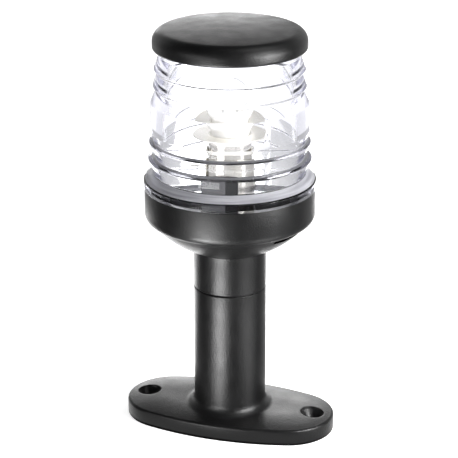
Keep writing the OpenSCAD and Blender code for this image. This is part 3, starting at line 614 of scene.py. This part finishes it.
# Lens
# Radius, height and rounding of each corner of its outline
LENS = rounded([
    (24.0, LUG_Z, 0.3), (SKIRT_R, LUG_Z, 0.2), (SKIRT_R, LUG_TOP), (SKIRT_R, 91.05, 0.15),
    (30.5, 91.05, 0.1), (30.5, 93.95, 0.25), (26.6, 96.6, 0.25), (28.9, 101.9, 0.35), (26.2, 102.6, 0.25),
    (28.5, 107.9, 0.35), (26.9, 108.6, 0.25), (28.15, 112.4, 0.6), (27.75, 122.1, 0.6), (25.7, 126.8, 0.6),
    (26.9, 128.0, 0.6), (25.3, 132.8, 0.6), (26.5, 134.0, 0.6), (24.65, 139.05, 0.4), (24.65, 140.95),
    (24.25, 140.95), (24.25, 142.45), (23.2, 142.45), (23.2, 143.55), (24.25, 143.55), (24.25, 145.05, 0.3),
    (1.5, 145.05), (1.5, 142.55), (22.15, 142.55, 2.5)], closed=True, steps=5)
# Mould lines: angles and half width in degrees, height and reach in millimetres
MOULD_ANGLES, MOULD_HALF, MOULD_RISE = [-44.8, 135.2], 0.9, 0.06
MOULD_FROM_R, MOULD_LOW, MOULD_TOP = 26.3, 92, 122


def make_lens():
    def at(angle):
        out = []
        lug = any(abs(angle_off(angle, a)) <= LUG_HALF for a in LOCK_ANGLES)
        mould = max(0.0, 1 - min(abs(angle_off(angle, a)) for a in MOULD_ANGLES) / MOULD_HALF)
        for r, z in LENS:
            if lug and z <= LUG_TOP + 0.01 and r > 25:
                r = LUG_R - (SKIRT_R - r)
            elif r > MOULD_FROM_R and MOULD_LOW < z < MOULD_TOP:
                r += MOULD_RISE * mould
            out.append((r, z))
        return out

    obj = lathe("lens_shell", at, seg=240, sharp=30)
    obj.visible_shadow = False
    place(obj, "lens_head", "clear_lens", "lens")


# Cap
def make_cap():
    r, base, top, crown, shoulder, edge = 27.0, 140.95, 149.05, 1.1, 4.2, 1.05
    spigot_r, roof, boss_r, boss_top, screw_r, screw_top = 24.3, 146.05, 3.85, 145.1, 1.5, 147.85
    shoulder_end = 84
    bulge = top - crown - shoulder
    crown_w = r - shoulder * (1 - math.cos(math.radians(shoulder_end)))
    rise = top - bulge - shoulder * math.sin(math.radians(shoulder_end))
    crown_r = (crown_w ** 2 + rise ** 2) / (2 * rise)
    tip = math.degrees(math.asin(crown_w / crown_r))
    profile = [(spigot_r, base)] + arc(r - edge, base + edge, edge, 270, 360, 8)
    profile += arc(r - shoulder, bulge, shoulder, 0, shoulder_end, 22)
    profile += arc(0, top - crown_r, crown_r, 90 - tip, 90, 14)
    profile += [(0, screw_top), (screw_r, screw_top), (screw_r, boss_top), (boss_r, boss_top), (boss_r, roof),
                (spigot_r, roof)]
    place(lathe("cap_shell", profile, seg=192, sharp=40), "lens_head", "black_plastic", "cap")


# Bulb and lampholder
def turned(obj):
    """Turns a piece made in the lampholder's own frame into place."""
    obj.data.transform(Matrix.Rotation(math.radians(HOLDER_ANGLE), 4, "Z"))
    return obj


def make_bulb():
    r, wall, cz, neck, foot = 9.0, 0.6, 118.55, 6.9, 105.15
    ball_in, neck_in = r - wall, neck - wall
    outer = [(neck_in, foot), (neck, foot), (neck, foot + 2)]
    outer += arc(0, cz, r, -math.degrees(math.acos(neck / r)), 90, 44)
    inner = arc(0, cz, ball_in, 90, -math.degrees(math.acos(neck_in / ball_in)), 44) + [(neck_in, foot + 2)]
    glass = lathe("bulb_envelope", outer + inner, seg=96, sharp=50)
    glass.visible_shadow = False
    place(glass, "bulb", "bulb_clear", "bulb_glass")
    hole, collar, rim, low, under, over = 7.6, 8.1, 13, 108.85, 111.15, 111.65
    disc = lathe("bulb_disc", rounded([
        (hole, low), (collar, low, 0.1), (collar, under, 0.3), (rim, under, 0.15), (rim, over, 0.15),
        (hole, over)], closed=True, steps=4), seg=128)
    place(disc, "bulb", "pale_metal", "bulb_flange")


def tube(name, path, radius, sides):
    """One unbroken round tube along a path of points, in millimetres."""
    bm = bmesh.new()
    rows = []
    for i, p in enumerate(path):
        ahead = (path[min(i + 1, len(path) - 1)] - path[max(i - 1, 0)]).normalized()
        side = ahead.orthogonal().normalized() if i == 0 else (side - ahead * side.dot(ahead)).normalized()
        up = ahead.cross(side)
        turns = [2 * math.pi * k / sides for k in range(sides)]
        rows.append([bm.verts.new(p + radius * (side * math.cos(t) + up * math.sin(t))) for t in turns])
    for a, b in zip(rows, rows[1:]):
        for k in range(sides):
            bm.faces.new((a[k], a[(k + 1) % sides], b[(k + 1) % sides], b[k]))
    bm.faces.new(rows[0])
    bm.faces.new(rows[-1])
    return finish_mesh(name, bm, 50)


def join(name, objs):
    bm = bmesh.new()
    for o in objs:
        bm.from_mesh(o.data)
        bpy.data.objects.remove(o)
    me = bpy.data.meshes.new(name)
    bm.to_mesh(me)
    bm.free()
    obj = bpy.data.objects.new(name, me)
    bpy.context.scene.collection.objects.link(obj)
    return obj


def make_wound():
    turns, n, span, r, z0, wire = 6, 144, 4.5, 0.5, 117.25, 0.1
    path = [Vector((-span / 2 + span * i / n, r * math.sin(2 * math.pi * turns * i / n),
                    z0 - r * math.cos(2 * math.pi * turns * i / n) + r)) for i in range(n + 1)]
    place(turned(tube("filament_coil", path, wire, 10)), "bulb", "tungsten", "filament")
    coils = []
    turns, n, z0, rise, r, wire, offset = 3.5, 84, 80.25, 3.35, 1.225, 0.225, 3.9
    for side in (-1, 1):
        path = [Vector((side * offset + r * math.cos(2 * math.pi * turns * i / n),
                        r * math.sin(2 * math.pi * turns * i / n),
                        z0 + wire + rise * i / n)) for i in range(n + 1)]
        coils.append(tube("coil", path, wire, 12))
    both = turned(join("contact_coils", coils))
    place(both, "housing", "steel", "contact_springs")
    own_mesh(both)


def make_stand():
    bm = bmesh.new()
    left, right, front, back, top, socket, bevel = -9.56, 2.64, -14.5, -6.5, 101.25, 8.4, 4.3
    plate_r, plate_z, collar_r, collar_z, soft, cut_back = 15.8, 79.65, 10, 83.65, 0.5, 1.6
    lathe_into(bm, rounded([
        (0, FLOOR_Z), (plate_r, FLOOR_Z, 0.2), (plate_r, plate_z, 0.5), (collar_r, plate_z, 0.3),
        (collar_r, collar_z, 0.35), (socket, collar_z, 0.2), (socket, plate_z), (0, plate_z)], steps=4),
        seg=96, closed=False)
    a0 = math.degrees(math.atan2(-math.sqrt(socket ** 2 - right ** 2), right))
    a1 = math.degrees(math.atan2(back, -math.sqrt(socket ** 2 - back ** 2)))
    outline = rounded([(left, back), (left, front, 0.5), (right - bevel, front, 0.4),
                       (right, front + bevel, 0.4), (right, back - cut_back)], steps=4)
    outline += arc(0, 0, socket, a0, a1, 12)
    rows = [(0.0, FLOOR_Z), (0.0, top - soft), (soft * EASE, top - soft * EASE), (soft, top)]
    centre = Vector(((left + right) / 2, (front + back) / 2))
    rings = []
    for inset, z in rows:
        ring = []
        for x, y in outline:
            d = Vector((x, y)) - centre
            k = 1 - inset / max(d.length, 0.1)
            ring.append(bm.verts.new((centre.x + d.x * k, centre.y + d.y * k, z)))
        rings.append(ring)
    for a, b in zip(rings, rings[1:]):
        for i in range(len(a)):
            j = (i + 1) % len(a)
            bm.faces.new((a[i], a[j], b[j], b[i]))
    bm.faces.new(rings[-1])
    bm.faces.new(rings[0])
    block = place(turned(finish_mesh("holder_block", bm, 40)), "housing", "dark_plastic", "holder_stand")
    turn = math.radians(HOLDER_ANGLE)
    grey = plastic("block_plastic", (0.08, 0.08, 0.085), (0.11, 0.11, 0.115), (0.4, 0.55))
    # Painted shade: the bevel face beyond the edge is near black, the face turned away from the light
    dress(block.data, painted_shade_beyond_edge(grey, (math.cos(turn), math.sin(turn), 0), right - bevel, (0.005, 0.005, 0.006)))


KEPT = {
    "neck_seal": "rubber", "neck_screws": "steel", "cable_grommet": "rubber", "lens_gasket": "rubber",
    "stand_screws": "steel", "holder_shell": "nickel", "contact_carrier": "dark_plastic",
    "terminal_tabs": "brass", "contact_plungers": "brass", "bulb_cap": "nickel", "bulb_pins": "nickel",
    "bulb_insulator": "insulator", "bulb_contacts": "steel", "bulb_stem": "bulb_clear",
    "filament_leads": "steel", "cap_seal": "rubber", "cap_screw": "steel",
}


def dress_kept():
    for name, slot in KEPT.items():
        dress(NODES[name].data, MATS[slot])
    # Painted light: the shaded inside of the bulb cap is painted pale cream, without metal
    plated = metal("nickel_inside_painted_light", (0.74, 0.72, 0.66), (0.86, 0.84, 0.79), (0.08, 0.2))
    dress(NODES["bulb_cap"].data, painted_light_inside(plated, PAINTED_LIGHT_R, (0.86, 0.84, 0.78)))
    dress(NODES["bulb_stem"].data, plastic("stem_glass", (0.75, 0.74, 0.70), (0.86, 0.85, 0.82), (0.15, 0.3)))


# Stage and light
# Brightness seen through clear pieces, from in front of the part (0) round to behind it (1)
BACKDROP = [(0.0, (0.97, 0.97, 0.98)), (0.3, (0.82, 0.82, 0.86)), (0.8, (0.7, 0.7, 0.74)),
            (0.92, (0.76, 0.76, 0.8)), (0.99, (1, 1, 1))]
# World brightness in reflections, in front of the part and behind it, on matt faces and through clear pieces
GLOSS_FRONT, GLOSS_BACK, MATT_SKY, CLEAR_SKY = 0.024, 0.6, 0.36, 0.85
# Glow of the floor as the camera sees it, and as it is seen through clear pieces
FLOOR_SEEN, FLOOR_THROUGH = 0.7, 0.9


def choose(tree, mask, yes, no):
    m = node(tree, "ShaderNodeMix", data_type="FLOAT")
    tree.links.new(mask, m.inputs["Factor"])
    for name, value in (("A", no), ("B", yes)):
        if isinstance(value, float):
            m.inputs[name].default_value = value
        else:
            tree.links.new(value, m.inputs[name])
    return m.outputs["Result"]


def backdrop(tree, behind):
    """Backdrop colour of a direction, from its share along BACK."""
    return ramp(tree, map_range(tree, behind, -1, 1, 0, 1), BACKDROP)


def make_world():
    world = bpy.data.worlds.new("studio")
    bpy.context.scene.world = world
    world.use_nodes = True
    tree = world.node_tree
    tree.nodes.clear()
    sky = node(tree, "ShaderNodeTexCoord").outputs["Generated"]
    behind = dot(tree, sky, BACK)
    bright = map_range(tree, behind, 0.2, 0.8, GLOSS_FRONT, GLOSS_BACK, "SMOOTHSTEP")
    low = map_range(tree, dot(tree, sky, (0, 0, 1)), 0.42, 0.58, 1.0, 0.1, "SMOOTHSTEP")
    path = node(tree, "ShaderNodeLightPath")
    value = choose(tree, path.outputs["Is Glossy Ray"], maths(tree, "MULTIPLY", bright, low), MATT_SKY)
    through = maths(tree, "MULTIPLY", backdrop(tree, behind), CLEAR_SKY)
    value = choose(tree, path.outputs["Is Transmission Ray"], through, value)
    value = choose(tree, path.outputs["Is Camera Ray"], 1.0, value)
    bg = node(tree, "ShaderNodeBackground")
    bg.inputs["Color"].default_value = (1, 1, 1, 1)
    tree.links.new(value, bg.inputs["Strength"])
    out = node(tree, "ShaderNodeOutputWorld")
    tree.links.new(bg.outputs["Background"], out.inputs["Surface"])


def make_floor():
    bm = bmesh.new()
    bmesh.ops.create_grid(bm, x_segments=2, y_segments=2, size=4)
    me = bpy.data.meshes.new("floor")
    bm.to_mesh(me)
    bm.free()
    floor = bpy.data.objects.new("floor", me)
    bpy.context.scene.collection.objects.link(floor)
    mat, tree, bsdf = shader("floor")
    bsdf.inputs["Base Color"].default_value = (0.9, 0.9, 0.9, 1)
    bsdf.inputs["Roughness"].default_value = 0.9
    bsdf.inputs["Specular IOR Level"].default_value = 0.1
    away = node(tree, "ShaderNodeVectorMath", operation="NORMALIZE")
    tree.links.new(node(tree, "ShaderNodeTexCoord").outputs["Object"], away.inputs[0])
    path = node(tree, "ShaderNodeLightPath")
    mix = node(tree, "ShaderNodeMix", data_type="RGBA")
    tree.links.new(path.outputs["Is Camera Ray"], mix.inputs["Factor"])
    tree.links.new(backdrop(tree, dot(tree, away.outputs["Vector"], BACK)), mix.inputs[6])
    mix.inputs[7].default_value = (1, 1, 1, 1)
    seen = maths(tree, "ADD", maths(tree, "MULTIPLY", path.outputs["Is Camera Ray"], FLOOR_SEEN),
                 maths(tree, "MULTIPLY", path.outputs["Is Transmission Ray"], FLOOR_THROUGH))
    tree.links.new(mix.outputs[2], bsdf.inputs["Emission Color"])
    tree.links.new(seen, bsdf.inputs["Emission Strength"])
    me.materials.append(mat)
    floor.visible_glossy = False
    floor.visible_diffuse = False


def panel(name, size, power):
    data = bpy.data.lights.new(name, "AREA")
    data.shape = "RECTANGLE"
    data.size, data.size_y = size
    data.energy = power
    lamp = bpy.data.objects.new(name, data)
    bpy.context.scene.collection.objects.link(lamp)
    return lamp


def hide(lamp):
    lamp.visible_camera = False
    lamp.visible_transmission = False
    return lamp


def area(name, azimuth, elevation, distance, size, power, aim_z=0.075):
    """Soft box at an azimuth measured from the camera's side, positive to its right."""
    lamp = panel(name, size, power)
    a = math.radians(CAM_AZ + azimuth)
    e = math.radians(elevation)
    aim = Vector((0, 0, aim_z))
    toward = Vector((math.sin(a) * math.cos(e), -math.cos(a) * math.cos(e), math.sin(e)))
    lamp.location = aim + distance * toward
    lamp.rotation_euler = (aim - lamp.location).to_track_quat("-Z", "Y").to_euler()
    return lamp


def card(name, azimuth, near, far, width, radiance):
    """Light panel lying on the floor, its length pointing at the part; lengths in metres."""
    lamp = hide(panel(name, (width, far - near), radiance * math.pi * width * (far - near)))
    a = math.radians(CAM_AZ + azimuth)
    reach = (near + far) / 2
    lamp.location = (reach * math.sin(a), -reach * math.cos(a), 0.001)
    lamp.rotation_euler = (math.pi, 0, -a)
    return lamp


def make_lights():
    area("left_low", -48, 5, 0.9, (0.6, 0.3), 1.0)
    area("right_low", 66, 5, 0.9, (0.3, 0.3), 0.3)
    area("right_mid", 54, 27, 0.9, (0.5, 0.32), 3.2)
    area("right_top", 75, 62, 0.9, (0.5, 0.5), 1.2)
    area("back_low", 186, 5, 0.9, (0.3, 0.3), 1.0)
    hide(area("back_right", 167, 0, 0.155, (0.05, 0.07), 0.042))
    hide(area("right_foot", 54, 27, 0.25, (0.13, 0.09), 0.55, 0.007))
    card("foot_glow", -CAM_AZ, -0.036, 0.036, 0.112, 0.45).data.shape = "ELLIPSE"
    card("left_close", -31, 0.04, 0.075, 0.03, 5.5)
    card("left_near", -30, 0.075, 0.14, 0.055, 17.0)
    card("left_mid", -30, 0.14, 0.21, 0.08, 14.0)
    card("left_wide", -31, 0.21, 0.34, 0.13, 7.0)
    card("left_far", -30, 0.34, 0.90, 0.2, 1.5)
    card("right_near", 52, 0.065, 0.14, 0.08, 2.4)
    card("right_far", 64, 0.12, 0.35, 0.2, 0.42)
    card("back_near", 180, 0.05, 0.35, 0.2, 3.0)


make_camera()
make_world()
make_floor()
make_lights()
make_pedestal()
make_bowl()
make_lens()
make_cap()
make_bulb()
make_wound()
make_stand()
dress_kept()

scene = bpy.context.scene
scene.view_settings.view_transform = "Standard"
bounces = 24  # enough to cross the lens and the bulb and come out again
scene.cycles.max_bounces = bounces
scene.cycles.glossy_bounces = bounces
scene.cycles.transmission_bounces = bounces
